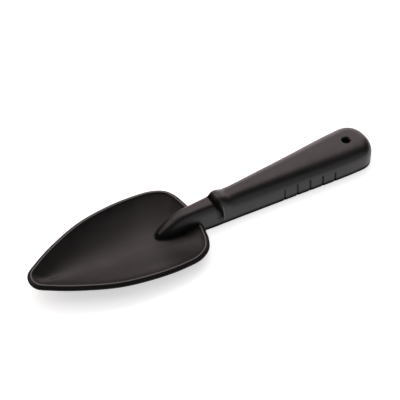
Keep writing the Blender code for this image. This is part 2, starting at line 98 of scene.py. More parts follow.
# %% Sockets that can be added and multiplied
class Socket:
    """One output socket, with the operators that the patterns here use."""

    def __init__(self, tree, link):
        self.tree = tree
        self.link = link

    def math(self, operation, *values):
        return self.tree.node("ShaderNodeMath", {"operation": operation},
                              dict(enumerate((self, *values))))

    def __add__(self, other):
        return self.math("ADD", other)

    def __sub__(self, other):
        return self.math("SUBTRACT", other)

    def __rsub__(self, other):
        return self.tree.node("ShaderNodeMath", {"operation": "SUBTRACT"}, {0: other, 1: self})

    def __mul__(self, other):
        return self.math("MULTIPLY", other)

    def __truediv__(self, other):
        return self.math("DIVIDE", other)

    __radd__ = __add__
    __rmul__ = __mul__


class Tree:
    """A node tree under construction."""

    def __init__(self, nodes):
        self.tree = nodes

    def node(self, kind, settings=None, inputs=None, output=0):
        made = self.tree.nodes.new(kind)
        for name, value in (settings or {}).items():
            setattr(made, name, value)
        for name, value in (inputs or {}).items():
            if isinstance(value, Socket):
                self.tree.links.new(value.link, made.inputs[name])
            else:
                made.inputs[name].default_value = value
        return Socket(self, made.outputs[output])

    def link(self, value, socket):
        self.tree.links.new(value.link, socket)


# %% [markdown]
# ## Sizes
# The lengths below are those of the solids in the frame, in metres, apart from the stop's top,
# which the photograph shows a little lower. The trowel lies along X with its tip at -X, and
# y = 0 is its plane of symmetry.

# %% Sizes
BLADE_LENGTH = 0.1370
NECK_LENGTH = 0.0205
HANDLE_LENGTH = 0.1425
BLADE_WIDTH = 0.0827
BLADE_WALL = 0.0030
NECK_TOP = 0.0195
STOP_WIDTH = 0.0226
STOP_TOP = 0.0230
HANDLE_MID_WIDTH = 0.0312
HANDLE_END_WIDTH = 0.0388
END_LENGTH = 0.0165  # length of the rounded end
WALL_BASE = 0.0003  # the moulding's lower edge
FIT_GAP = 0.0003
HOLE_FROM_END = 0.0207

TIP_X = -(BLADE_LENGTH + NECK_LENGTH + HANDLE_LENGTH) / 2
HEEL_X = TIP_X + BLADE_LENGTH
STOP_X = HEEL_X + NECK_LENGTH
END_X = STOP_X + HANDLE_LENGTH
HOLE_X = END_X - HOLE_FROM_END


def eased(t):
    """A smooth step from 0 to 1, flat outside them."""
    t = min(max(t, 0.0), 1.0)
    return t * t * (3 - 2 * t)


def between(low, high, t):
    return low + (high - low) * t


def spread(start, end, steps):
    """Evenly spaced values from start to end, with both."""
    return [start + (end - start) * i / steps for i in range(steps + 1)]


def follow(stations, x):
    """Value at x of a smooth line through (x, value) stations, level at both ends."""
    if x <= stations[0][0]:
        return stations[0][1]
    if x >= stations[-1][0]:
        return stations[-1][1]
    slopes = [0.0]
    for before, after in zip(stations, stations[2:]):
        slopes.append((after[1] - before[1]) / (after[0] - before[0]))
    slopes.append(0.0)
    for i in range(len(stations) - 1):
        (x0, v0), (x1, v1) = stations[i], stations[i + 1]
        if x <= x1:
            span = x1 - x0
            t = (x - x0) / span
            return (v0 + (v1 - v0) * t * t * (3 - 2 * t)
                    + span * slopes[i] * t * (1 - t) ** 2
                    - span * slopes[i + 1] * t * t * (1 - t))


places = (TIP_X, HEEL_X, STOP_X, END_X)
print("tip, heel, stop and end in mm:", [round(x * 1000, 1) for x in places])

# %% [markdown]
# ## Building meshes
# Pieces are built from points and faces, then joined or cut by booleans. These need closed
# meshes, so points that meet are merged and all faces are turned outwards first. Modifiers are
# applied at once, so that each step can be measured.

# %% Building meshes
MERGE_DISTANCE = 1e-6
SMOOTH_ANGLE = radians(32)  # steeper edges than this stay sharp


def add_to_scene(name, bm):
    """Make the mesh under construction an object of the scene."""
    mesh = bpy.data.meshes.new(name)
    bm.to_mesh(mesh)
    bm.free()
    made = bpy.data.objects.new(name, mesh)
    bpy.context.scene.collection.objects.link(made)
    return made


def new_object(name, bm):
    """Merge what meets, turn every face outwards, and make the mesh an object."""
    bmesh.ops.remove_doubles(bm, verts=bm.verts, dist=MERGE_DISTANCE)
    bmesh.ops.dissolve_degenerate(bm, edges=bm.edges, dist=MERGE_DISTANCE)
    bmesh.ops.recalc_face_normals(bm, faces=bm.faces)
    if bm.calc_volume(signed=True) < 0:
        bmesh.ops.reverse_faces(bm, faces=bm.faces)
    return add_to_scene(name, bm)


def apply_modifiers(piece):
    """Turn what the modifiers make into the piece's own plain mesh."""
    depsgraph = bpy.context.evaluated_depsgraph_get()
    shaped = bpy.data.meshes.new_from_object(piece.evaluated_get(depsgraph))
    piece.modifiers.clear()
    piece.data = shaped
    return piece


def combine(piece, others, operation):
    """Boolean the other objects into the piece, and drop them."""
    for other in others:
        modifier = piece.modifiers.new(other.name, "BOOLEAN")
        modifier.operation = operation
        modifier.object = other
        modifier.solver = "EXACT"
    apply_modifiers(piece)
    for other in others:
        bpy.data.objects.remove(other, do_unlink=True)
    return piece


def smooth(piece):
    """Shade the piece smooth, but keep its real edges sharp, and count its faces."""
    piece.data.shade_smooth()
    piece.data.set_sharp_from_angle(angle=SMOOTH_ANGLE)
    print(piece.name, "faces:", len(piece.data.polygons))


# %% [markdown]
# ## Blade
# The blade is a sheet 3 mm thick: an outer edge that slopes down, a raised bead just inside it,
# and a dish. It could be sculpted, or extruded from a flat outline and bent. Here every point of
# it follows from the outline, so it is built as closed rings. Each ring is the outline drawn
# inwards and down by a rule, and the last one is folded flat on the floor line of the dish.

# %% Outline of the blade
# Share of the length from the tip, share of the half width, and how far the edge has come down
# from its height at the tip to its height at the sides
BLADE_OUTLINE = (
    (0.000, 0.000, 0.00),
    (0.017, 0.182, 0.03),
    (0.086, 0.354, 0.07),
    (0.203, 0.577, 0.15),
    (0.406, 0.862, 0.36),
    (0.609, 0.990, 0.62),
    (0.771, 1.012, 0.86),
    (0.885, 0.968, 1.00),
    (0.955, 0.830, 1.00),
    (0.989, 0.630, 1.00),
    (1.005, 0.450, 1.00),
    (1.016, 0.300, 1.00),
    (1.020, 0.120, 1.00),
    (1.020, 0.000, 1.00),
)
RIM_TIP_HEIGHT = 0.0177
RIM_SIDE_HEIGHT = 0.0107
RIM_HEEL_HEIGHT = 0.0084
HEEL_DIP_START = 0.030  # half width where the edge starts to dip
HEEL_DIP_END = 0.009
HEEL_SHARE = 0.75  # only the edge behind this share of the length dips
OUTLINE_STEPS = 14


def closed_curve(points, steps):
    """Points on a closed Catmull-Rom curve through the given points."""
    curve = []
    for i in range(len(points)):
        a, b, c, d = (points[(i + k) % len(points)] for k in (-1, 0, 1, 2))
        knots = [0.0]
        for start, end in ((a, b), (b, c), (c, d)):
            knots.append(knots[-1] + (end - start).length ** 0.5)
        for step in range(steps):
            t = knots[1] + (knots[2] - knots[1]) * step / steps
            ab = a.lerp(b, (t - knots[0]) / (knots[1] - knots[0]))
            bc = b.lerp(c, (t - knots[1]) / (knots[2] - knots[1]))
            cd = c.lerp(d, (t - knots[2]) / (knots[3] - knots[2]))
            abc = ab.lerp(bc, (t - knots[0]) / (knots[2] - knots[0]))
            bcd = bc.lerp(cd, (t - knots[1]) / (knots[3] - knots[1]))
            curve.append(abc.lerp(bcd, (t - knots[1]) / (knots[2] - knots[1])))
    return curve


def blade_edge():
    """The closed outer edge, from the tip round the -Y side and back."""
    half = []
    for along, across, down in BLADE_OUTLINE:
        z = between(RIM_TIP_HEIGHT, RIM_SIDE_HEIGHT, down)
        half.append(Vector((TIP_X + along * BLADE_LENGTH, -across * BLADE_WIDTH / 2, z)))
    mirrored = [Vector((p.x, -p.y, p.z)) for p in half[-2:0:-1]]
    curve = closed_curve(half + mirrored, OUTLINE_STEPS)
    for point in curve:
        if point.x > TIP_X + BLADE_LENGTH * HEEL_SHARE:
            dip = eased((HEEL_DIP_START - abs(point.y)) / (HEEL_DIP_START - HEEL_DIP_END))
            point.z += (RIM_HEEL_HEIGHT - RIM_SIDE_HEIGHT) * dip
    return curve


def inward(curve):
    """Unit directions in plan that point from the closed curve to its inside."""
    turned = []
    for i, point in enumerate(curve):
        along = curve[(i + 1) % len(curve)] - curve[i - 1]
        turned.append(Vector((-along.y, along.x, 0)).normalized())
    return turned


print("points round the blade:", len(blade_edge()))

# %% [markdown]
# ## Rim and dish
# A raised bead stiffens the thin edge and catches a line of light. It could be a pipe laid on
# the blade, but as part of the same rings it needs no union: half a squarish circle, and behind
# it the dish, which falls to its floor line by a power curve.

# %% Rim and dish
EDGE_THICKNESS = 0.0012
EDGE_ROUND = 0.0004
BEAD_INSET = 0.0028  # crest of the raised bead, in from the outer edge
BEAD_RISE = 0.0016
BEAD_RADIUS = 0.0009
BEAD_SQUARENESS = 2.6  # 2 is a round bead, higher is flatter
BEAD_STEPS = 14
FLOOR_HEIGHT = 0.0030  # upper face of the dish at its lowest
FLOOR_LOW_POINT = 0.078  # where that is, from the tip
FLOOR_TIP_RISE = 0.0085
FLOOR_TIP_END = 0.014  # the floor line starts this far behind the tip
FLOOR_HEEL_END = 0.021  # and ends this far ahead of the heel
DISH_ROUNDNESS = 1.9  # 1 is a straight-sided dish, 2 a round one
DISH_RINGS = 36


def floor_height(x):
    low = TIP_X + FLOOR_LOW_POINT
    reach = FLOOR_LOW_POINT - FLOOR_TIP_END
    return FLOOR_HEIGHT + FLOOR_TIP_RISE * ((x - low) / reach) ** 2


def rim_profile():
    """Inset from the outer edge and height above it, from the bead's foot to the underside."""
    rim = []
    for step in range(BEAD_STEPS + 1):
        turn = pi * step / BEAD_STEPS
        out = abs(cos(turn)) ** (2 / BEAD_SQUARENESS) * (1 if turn < pi / 2 else -1)
        up = sin(turn) ** (2 / BEAD_SQUARENESS) if 0 < step < BEAD_STEPS else 0.0
        rim.append((BEAD_INSET + BEAD_RADIUS * out, BEAD_RISE + BEAD_RADIUS * (up - 1)))
    foot_inset, foot_rise = rim[0]
    for turn in (pi / 2, pi / 4, 0.0):
        rim.append((EDGE_ROUND * (1 - cos(turn)), EDGE_ROUND * (sin(turn) - 1)))
    rim += [(0.0, -EDGE_THICKNESS), (foot_inset, foot_rise - BLADE_WALL)]
    return rim


def dish_rings(edge, inner, foot_inset, foot_rise):
    """Rings of the dish's upper face, from the floor line up to the bead's foot."""
    floor_start = TIP_X + FLOOR_TIP_END
    floor_end = HEEL_X - FLOOR_HEEL_END
    dish = []
    for step in range(DISH_RINGS, 0, -1):
        t = step / DISH_RINGS
        ring = []
        for point, direction in zip(edge, inner):
            foot = point + direction * foot_inset + Vector((0, 0, foot_rise))
            share = (foot.x - TIP_X) / BLADE_LENGTH
            low = Vector((between(floor_start, floor_end, share), 0, 0))
            low.z = floor_height(low.x)
            place = foot.lerp(low, t)
            place.z = between(low.z, foot.z, (1 - t) ** DISH_ROUNDNESS)
            ring.append(place)
        dish.append(ring)
    return dish


def blade():
    edge = blade_edge()
    inner = inward(edge)
    rim = rim_profile()
    dish = dish_rings(edge, inner, *rim[0])
    rings = list(dish)
    for inset, rise in rim:
        rings.append([p + d * inset + Vector((0, 0, rise)) for p, d in zip(edge, inner)])
    for ring in reversed(dish):
        rings.append([p - Vector((0, 0, BLADE_WALL)) for p in ring])
    bm = bmesh.new()
    grid = [[bm.verts.new(p) for p in ring] for ring in rings]
    count = len(edge)
    for lower, upper in zip(grid, grid[1:]):
        for i in range(count):
            j = (i + 1) % count
            bm.faces.new((lower[i], lower[j], upper[j], upper[i]))
    for ring in (grid[0], grid[-1]):
        folded = {ring[-i % count]: ring[i] for i in range(1, (count + 1) // 2)}
        bmesh.ops.weld_verts(bm, targetmap=folded)
    return new_object("blade", bm)


blade_piece = blade()
print("blade faces:", len(blade_piece.data.polygons))

# %% [markdown]
# ## Neck, thumb stop and handle
# These are one arch, from the pointed nose in the dish to the rounded end. On the neck its
# section is flat-topped with walls that lean in, behind the stop rounder, at the end boxy and
# upright. It could be lofted over a few sketched sections, but a rule is easier to correct: a
# class describes a section, and functions say how its sizes change along the trowel. The upper
# rows may lie further back or forward than the walls, which makes the stop's bulging face.

# %% Sections of the arch
ARCH_STEPS = 28
NECK_WALL = 0.0060  # height of the straight walls
NECK_SQUARENESS = 3.7  # 2 is a round arch, higher is boxier
NECK_LEAN = 0.30  # share of the half width that the top leans in
HANDLE_WALL = 0.0070
END_WALL = 0.0075
FRONT_SQUARENESS = 2.6  # at the thumb stop
FRONT_LEAN = 0.20
END_SQUARENESS = 3.1  # at the handle's end
END_LEAN = 0.05
LEAN_CURVE = 1.5  # 1 is a straight wall, higher stays upright longer
BASE_ROUND = 0.0007  # radius of the lower edge
BASE_STEPS = 3


@dataclass
class Section:
    """One cross-section: straight walls under a rounded arch."""

    x: float
    half_width: float
    top: float
    wall: float = NECK_WALL
    squareness: float = NECK_SQUARENESS
    lean: float = NECK_LEAN
    apex_x: float = None
    bulge: float = 1.0

    def __post_init__(self):
        if self.apex_x is None:
            self.apex_x = self.x

    def points(self, side, base):
        """Rows of one side, from the lower edge up to the crown."""
        width = self.half_width
        turn_in = min(BASE_ROUND, width)
        rows = []
        for step in range(BASE_STEPS + 1):
            angle = pi / 2 * step / BASE_STEPS
            rows.append(Vector((self.x, width - turn_in * (1 - sin(angle)),
                                base + BASE_ROUND * (1 - cos(angle)))))
        rows.append(Vector((self.x, width, self.wall)))
        for step in range(1, ARCH_STEPS + 1):
            angle = pi / 2 * step / ARCH_STEPS
            across = cos(angle) ** (2 / self.squareness) if step < ARCH_STEPS else 0.0
            up = sin(angle) ** (2 / self.squareness)
            rows.append(Vector((between(self.apex_x, self.x, across ** self.bulge),
                                width * across, between(self.wall, self.top, up))))
        for row in rows:
            row.y *= side * self.leaned(row.z)
        return rows

    def leaned(self, z):
        """Share of the half width that is left at height z by the walls' lean."""
        return 1 - self.lean * (max(z, 0.0) / self.top) ** LEAN_CURVE

    def width_at(self, z):
        """Half width of the outer surface at height z."""
        up = min(max(z - self.wall, 0.0) / (self.top - self.wall), 1.0)
        arched = (1 - up ** self.squareness) ** (1 / self.squareness)
        return self.half_width * arched * self.leaned(z)


def arch_solid(name, sections, base):
    """A closed solid over a flat base, through the sections in order."""
    bm = bmesh.new()
    sides = []
    for side in (-1, 1):
        rows = [section.points(side, base) for section in sections]
        sides.append([[bm.verts.new(p) for p in row] for row in rows])
    for rows in sides:
        for left, right in zip(rows, rows[1:]):
            for k in range(len(left) - 1):
                bm.faces.new((left[k], right[k], right[k + 1], left[k + 1]))
    near, far = sides
    for i in range(len(sections) - 1):
        bm.faces.new((near[i][0], near[i + 1][0], far[i + 1][0], far[i][0]))
    for i in (0, -1):
        if sections[i].half_width > 0:
            for k in range(len(near[i]) - 1):
                bm.faces.new((near[i][k], near[i][k + 1], far[i][k + 1], far[i][k]))
    return new_object(name, bm)


print("points in half a section:", len(Section(0, NECK_TOP, NECK_TOP).points(1, WALL_BASE)))

# %% [markdown]
# ## Neck
# The neck grows out of the dish with a pointed nose. This could be sculpted, but two powers of
# the distance from its point give how it widens and rises. Behind it the neck keeps its height.

# %% Neck
NOSE_X = TIP_X + 0.1018
NOSE_LENGTH = 0.0300
NOSE_SHARPNESS = 2.8  # 1 is a wedge in plan, higher is blunter
NOSE_STEEPNESS = 2.0  # the same, seen from the side
NOSE_WALL_DROP = 0.8
NOSE_SQUARENESS = 2.6
NOSE_LEAN = 0.30
NOSE_STEPS = 40
NOSE_CROWDING = 1.4  # above 1 the sections crowd at the point
NECK_STEPS = 16
NECK_FRONT_WIDTH = 0.0190
STOP_REACH = 0.0056  # the stop's face starts this far ahead, on top of the neck


def neck_width(x):
    return follow(((NOSE_X + NOSE_LENGTH, NECK_FRONT_WIDTH / 2), (STOP_X, STOP_WIDTH / 2)), x)


def neck_sections(inset=0.0, x_end=STOP_X - STOP_REACH - FIT_GAP):
    """Sections from the nose's point to x_end, drawn in by inset for the hollow below."""
    sections = []
    nose = NOSE_X + inset
    apex = NOSE_X + NOSE_LENGTH
    foot = floor_height(NOSE_X) - FIT_GAP
    for step in range(NOSE_STEPS):
        share = (step / NOSE_STEPS) ** NOSE_CROWDING
        width = (neck_width(apex) - inset) * (1 - (1 - share) ** NOSE_SHARPNESS)
        rise = 1 - (1 - share) ** NOSE_STEEPNESS
        top = between(foot, NECK_TOP - inset, rise)
        wall = NECK_WALL - (NECK_WALL - WALL_BASE) * NOSE_WALL_DROP * (1 - rise)
        squareness = between(NOSE_SQUARENESS, NECK_SQUARENESS, share)
        lean = between(NOSE_LEAN, NECK_LEAN, share)
        sections.append(Section(between(nose, apex, share), width, top, wall, squareness, lean))
    for x in spread(apex, x_end, NECK_STEPS):
        sections.append(Section(x, neck_width(x) - inset, NECK_TOP - inset))
    return sections


print("sections of the neck:", len(neck_sections()))

# %% [markdown]
# ## Thumb stop
# The thumb rests against a raised lip across the neck. The photograph shows its steep face as a
# dark curved band, so instead of a plain step the face gets rows of its own. They rise from a
# hollow root on the neck to the lip, and fall back to the sides.

# %% Thumb stop
STOP_SQUARENESS = 2.7  # the stop is boxier than the handle behind it
STOP_LEAN = 0.08
STOP_LIP_TOP = 0.0226
STOP_BULGE = 8.0  # how fast the face's foot falls back to the sides
STOP_ROOT_LENGTH = 0.0012  # from the face's foot to its hollow root
STOP_ROOT_RISE = 0.0006
STOP_FACE_LENGTH = 0.0052  # from the face's foot to its upper edge
STOP_FACE_STEPS = 5
STOP_BACK_LENGTH = 0.0085  # from the ridge down to the handle
STOP_STEPS = 16
RIDGE_X = STOP_X + 0.0012


def stop_sections():
    """The stop's sloping face: its foot on the neck, then from its root up to its lip."""
    foot_x = STOP_X - STOP_REACH
    root_x = foot_x + STOP_ROOT_LENGTH
    lip_x = foot_x + STOP_FACE_LENGTH
    root_top = NECK_TOP + STOP_ROOT_RISE
    width = STOP_WIDTH / 2
    face = [Section(STOP_X - FIT_GAP, width, NECK_TOP, apex_x=foot_x, bulge=STOP_BULGE)]
    for t in spread(0.0, 1.0, STOP_FACE_STEPS):
        top = between(root_top, STOP_LIP_TOP, sin(t * pi / 2))
        face.append(Section(STOP_X + FIT_GAP * t, width, top, between(NECK_WALL, HANDLE_WALL, t),
                            between(NECK_SQUARENESS, STOP_SQUARENESS, t),
                            between(NECK_LEAN, STOP_LEAN, t), between(root_x, lip_x, t),
                            between(STOP_BULGE, 1, t)))
    return face


print("tops of the stop's rows in mm:", [round(s.top * 1000, 2) for s in stop_sections()])

# %% [markdown]
# ## Handle
# The handle swells from the stop to its rounded end. The end could be a cap of its own, but it
# leaves the mould with the rest, so the last section shrinks to nothing round a squarish
# quarter circle.

# %% Handle
HANDLE_FRONT_TOP = 0.0200
HANDLE_MID_TOP = 0.0202
HANDLE_END_TOP = 0.0207
HANDLE_FRONT_SWELL = 0.0011
PLAN_SQUARENESS = 2.3  # of the rounded end, seen from above
HANDLE_STEPS = 120
END_STEPS = 30


def handle_width(x):
    swell = (STOP_X + END_X - END_LENGTH) / 2
    stations = (
        (STOP_X - NECK_LENGTH, STOP_WIDTH / 2 - HANDLE_FRONT_SWELL),
        (STOP_X, STOP_WIDTH / 2),
        (swell, HANDLE_MID_WIDTH / 2),
        (END_X - END_LENGTH, HANDLE_END_WIDTH / 2),
    )
    return follow(stations, x)


def handle_top(x):
    """Height of the crown, from the stop's ridge to the handle's end."""
    back = RIDGE_X + STOP_BACK_LENGTH
    if x < back:
        return between(STOP_TOP, HANDLE_FRONT_TOP, eased((x - RIDGE_X) / STOP_BACK_LENGTH))
    straight_end = END_X - END_LENGTH
    middle = (back + straight_end) / 2
    stations = ((back, HANDLE_FRONT_TOP), (middle, HANDLE_MID_TOP), (straight_end, HANDLE_END_TOP))
    return follow(stations, x)


def handle_section(x, inset=0.0):
    """The arch gets boxier and its walls more upright towards the handle's end."""
    along = (x - RIDGE_X) / (END_X - END_LENGTH - RIDGE_X)
    squareness = between(FRONT_SQUARENESS, END_SQUARENESS, along)
    lean = between(FRONT_LEAN, END_LEAN, along)
    near_stop = 1 - eased((x - RIDGE_X) / (2 * STOP_BACK_LENGTH))
    squareness += (STOP_SQUARENESS - FRONT_SQUARENESS) * near_stop
    lean += (STOP_LEAN - FRONT_LEAN) * near_stop
    wall = between(HANDLE_WALL, END_WALL, along)
    return Section(x, handle_width(x) - inset, handle_top(x) - inset, wall, squareness, lean)


def handle_sections(x_start, x_end, inset=0.0):
    """Sections of the handle, with its rounded end where x_end reaches that far."""
    straight_end = END_X - END_LENGTH
    back = RIDGE_X + STOP_BACK_LENGTH
    stations = spread(RIDGE_X, back, STOP_STEPS)
    stations += spread(back, straight_end, HANDLE_STEPS)[1:]
    stop = min(x_end, straight_end)
    inside = [x for x in stations if x_start + FIT_GAP < x < stop - FIT_GAP]
    sections = [handle_section(x, inset) for x in (x_start, *inside, stop)]
    last = sections[-1]
    for step in range(1, END_STEPS + 1):
        angle = pi / 2 * step / END_STEPS
        x = between(straight_end, x_end, sin(angle) ** (2 / PLAN_SQUARENESS))
        width = last.half_width * cos(angle) ** (2 / PLAN_SQUARENESS) if step < END_STEPS else 0.0
        sections.append(Section(x, width, last.top, last.wall, last.squareness, last.lean,
                                straight_end))
    return sections


grip = arch_solid("grip", neck_sections() + stop_sections() + handle_sections(RIDGE_X, END_X),
                  WALL_BASE)
print("grip faces:", len(grip.data.polygons))

# %% [markdown]
# ## Finger grooves
# Five upright grooves repeat along each side of the handle. Cutting ten grooves by hand would
# hide their rule, so Geometry Nodes resample the line where the wall meets the table to one
# point for each groove, and stand a rod on every point. The rods lean with the wall and get
# lower towards the end.

# %% Grooves along the wall
GROOVE_COUNT = 5
GROOVE_FIRST = 0.0541  # behind the thumb stop
GROOVE_PITCH = 0.0115
GROOVE_DEPTH = 0.0008
GROOVE_RADIUS = 0.0009
GROOVE_HEIGHT = 0.0138
GROOVE_HEIGHT_LOSS = 0.0009
LINE_STEPS = 40
ROD_SIDES = 24


def open_tree(name, inputs):
    """An empty geometry tree, and its inputs by name."""
    group = bpy.data.node_groups.new(name, "GeometryNodeTree")
    for label, kind in inputs:
        group.interface.new_socket(label, in_out="INPUT", socket_type="NodeSocket" + kind)
    tree = Tree(group)
    given = group.nodes.new("NodeGroupInput")
    return tree, {socket.name: Socket(tree, socket) for socket in given.outputs}


def close_tree(tree, name, instances, material):
    """Turn the instances into real faces, coat them and hand them out under the name."""
    group = tree.tree
    group.interface.new_socket(name, in_out="OUTPUT", socket_type="NodeSocketGeometry")
    real = tree.node("GeometryNodeRealizeInstances", inputs={"Geometry": instances})
    coated = tree.node("GeometryNodeSetMaterial", inputs={"Geometry": real, "Material": material})
    result = group.nodes.new("NodeGroupOutput")
    tree.link(coated, result.inputs[name])
    return group


def groove_tree():
    """Geometry nodes that stand a row of rods along a line."""
    tree, value = open_tree("groove_row", (
        ("Line", "Geometry"), ("Count", "Int"), ("Radius", "Float"), ("Height", "Float"),
        ("Height loss", "Float"), ("Lean", "Float"), ("Material", "Material")))
    curve = tree.node("GeometryNodeMeshToCurve", inputs={"Mesh": value["Line"]})
    points = tree.node("GeometryNodeCurveToPoints", {"mode": "COUNT"},
                       {"Curve": curve, "Count": value["Count"]})
    rod = tree.node("GeometryNodeMeshCylinder", inputs={
        "Vertices": ROD_SIDES, "Radius": value["Radius"], "Depth": value["Height"]})
    number = tree.node("GeometryNodeInputIndex")
    share = 1 - number * value["Height loss"] / value["Height"]
    size = tree.node("ShaderNodeCombineXYZ", inputs={"X": 1.0, "Y": 1.0, "Z": share})
    turn = tree.node("ShaderNodeCombineXYZ", inputs={"X": value["Lean"], "Y": 0.0, "Z": 0.0})
    placed = tree.node("GeometryNodeInstanceOnPoints",
                       inputs={"Points": points, "Instance": rod, "Rotation": turn, "Scale": size})
    return close_tree(tree, "Rods", placed, value["Material"])


def use_tree(piece, group, values):
    """Run a node tree on the piece, with its inputs set by their identifiers."""
    modifier = piece.modifiers.new(group.name, "NODES")
    modifier.node_group = group
    for item in group.interface.items_tree:
        if item.in_out == "INPUT" and item.name in values:
            modifier[item.identifier] = values[item.name]
    return apply_modifiers(piece)


def groove_row(side, group):
    """Cutters for the grooves of one side, on the line where the wall meets the table."""
    first = STOP_X + GROOVE_FIRST
    last = first + (GROOVE_COUNT - 1) * GROOVE_PITCH
    bm = bmesh.new()
    points = []
    for x in spread(first, last, LINE_STEPS):
        away = handle_width(x) + GROOVE_RADIUS - GROOVE_DEPTH
        points.append(bm.verts.new((x, side * away, 0)))
    for pair in zip(points, points[1:]):
        bm.edges.new(pair)
    row = add_to_scene("groove_line", bm)
    middle = handle_section((first + last) / 2)
    lean = middle.half_width * middle.lean / middle.top
    use_tree(row, group, {"Count": GROOVE_COUNT, "Radius": GROOVE_RADIUS,
                          "Height": 2 * GROOVE_HEIGHT, "Height loss": 2 * GROOVE_HEIGHT_LOSS,
                          "Lean": side * lean})
    return row


rows = groove_tree()
groove_cutters = [groove_row(side, rows) for side in (-1, 1)]
print("groove cutter faces:", [len(row.data.polygons) for row in groove_cutters])

# %% [markdown]
# ## The moulding
# The plastic parts leave the mould as one piece, so blade and arch are joined by a union. Then
# the channel under the neck, the seat of the cover, the hanging hole and the grooves are cut.
# Ribs and screw bosses are hidden behind the cover and are left to the frame's solids.

# %% One moulding
SHELL_WALL = 0.0024
COVER_X = STOP_X - 0.0040  # the cover starts ahead of the thumb stop
COVER_THICKNESS = 0.0022
COVER_LEDGE = 0.0014  # part of the wall that hides the cover's edge
HOLE_RADIUS = 0.0033
HOLE_ROUND = 0.0008  # width of the hole's sloped mouth
OVERRUN = 0.002  # cutters run this far past what they open
TURN_STEPS = 48


def prism(name, sections, low, high):
    """A flat solid between two heights, whose outline follows the sections."""
    bm = bmesh.new()
    outline = [(s.x, -s.half_width) for s in sections]
    outline += [(s.x, s.half_width) for s in reversed(sections) if s.half_width > 0]
    flat = bm.faces.new([bm.verts.new((x, y, low)) for x, y in outline])
    raised = bmesh.ops.extrude_face_region(bm, geom=[flat])["geom"]
    corners = [item for item in raised if isinstance(item, bmesh.types.BMVert)]
    bmesh.ops.translate(bm, verts=corners, vec=(0, 0, high - low))
    return new_object(name, bm)


def turned(name, x, profile):
    """A body turned about an upright axis, from rows of radius and height."""
    bm = bmesh.new()
    points = [bm.verts.new((x + radius, 0, z)) for radius, z in profile]
    edges = [bm.edges.new(pair) for pair in zip(points, points[1:])]
    bmesh.ops.spin(bm, geom=points + edges, cent=(x, 0, 0), axis=(0, 0, 1), angle=2 * pi,
                   steps=TURN_STEPS, use_merge=True)
    return new_object(name, bm)


def moulding():
    combine(blade_piece, [grip], "UNION")
    channel = arch_solid("channel", neck_sections(SHELL_WALL, COVER_X - SHELL_WALL), -OVERRUN)
    seat = prism("seat", handle_sections(COVER_X, END_X - COVER_LEDGE, COVER_LEDGE), -OVERRUN,
                 COVER_THICKNESS + FIT_GAP)
    rim = handle_top(HOLE_X)
    bore = turned("bore", HOLE_X, ((0, -OVERRUN), (HOLE_RADIUS, -OVERRUN),
                                   (HOLE_RADIUS, rim - HOLE_ROUND),
                                   (HOLE_RADIUS + HOLE_ROUND + OVERRUN, rim + OVERRUN),
                                   (0, rim + OVERRUN)))
    return combine(blade_piece, [channel, seat, bore] + groove_cutters, "DIFFERENCE")


body = moulding()
body.name = "trowel_moulding"
smooth(body)
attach(body, "root")
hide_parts("trowel_body")

# %% [markdown]
# ## Cover
# A flat plate closes the hollow handle from below. It could be drawn as a line on the shell, but
# a real plate with a rounded edge and a gap gives the seam its depth. Four counterbores let the
# screw heads lie below its face.

# %% Back cover
COVER_ROUND = 0.0004
COVER_ROUND_STEPS = 2
COVER_EDGE_ANGLE = radians(60)  # only sharper edges are rounded
SCREW_COUNT = 4
SCREW_FIRST_X = STOP_X + 0.0130
SCREW_LAST_X = HOLE_X - 0.0150
SCREW_HEAD_RADIUS = 0.0028
SCREW_HEAD_HEIGHT = 0.0016
SCREW_SINK = 0.0006  # head below the cover's outer face


def drill(name, x, radius, high):
    """An upright round cutter, from below the cover up to a height."""
    return turned(name, x, ((0, -OVERRUN), (radius, -OVERRUN), (radius, high), (0, high)))


def back_cover():
    edge = COVER_LEDGE + FIT_GAP
    cover = prism("back_cover", handle_sections(COVER_X + FIT_GAP, END_X - edge, edge), 0,
                  COVER_THICKNESS)
    bevel = cover.modifiers.new("rounded_edge", "BEVEL")
    bevel.width = COVER_ROUND
    bevel.segments = COVER_ROUND_STEPS
    bevel.limit_method = "ANGLE"
    bevel.angle_limit = COVER_EDGE_ANGLE
    apply_modifiers(cover)
    cutters = [drill("bore", HOLE_X, HOLE_RADIUS, OVERRUN * 2)]
    for x in spread(SCREW_FIRST_X, SCREW_LAST_X, SCREW_COUNT - 1):
        cutters.append(drill("counterbore", x, SCREW_HEAD_RADIUS + FIT_GAP,
                             SCREW_SINK + SCREW_HEAD_HEIGHT))
    return combine(cover, cutters, "DIFFERENCE")


cover = back_cover()
smooth(cover)
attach(cover, "root")
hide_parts("handle_back_cover")

# %% [markdown]
# ## Screws
# Four equal screws hold the cover. They could be copied by hand, but one is modelled and Geometry
# Nodes repeat it along a line. Its head is turned from a profile, and a cross recess is cut in.

# %% Cover screws
RECESS_LENGTH = 0.0033
RECESS_WIDTH = 0.0007
RECESS_DEPTH = 0.0010
RECESS_TAPER = 0.7  # share of the recess's width that is left at its bottom
SHOULDER = 0.0005  # radius of the head's shoulder
SHOULDER_CUT = 0.3  # share of it that its middle is cut back


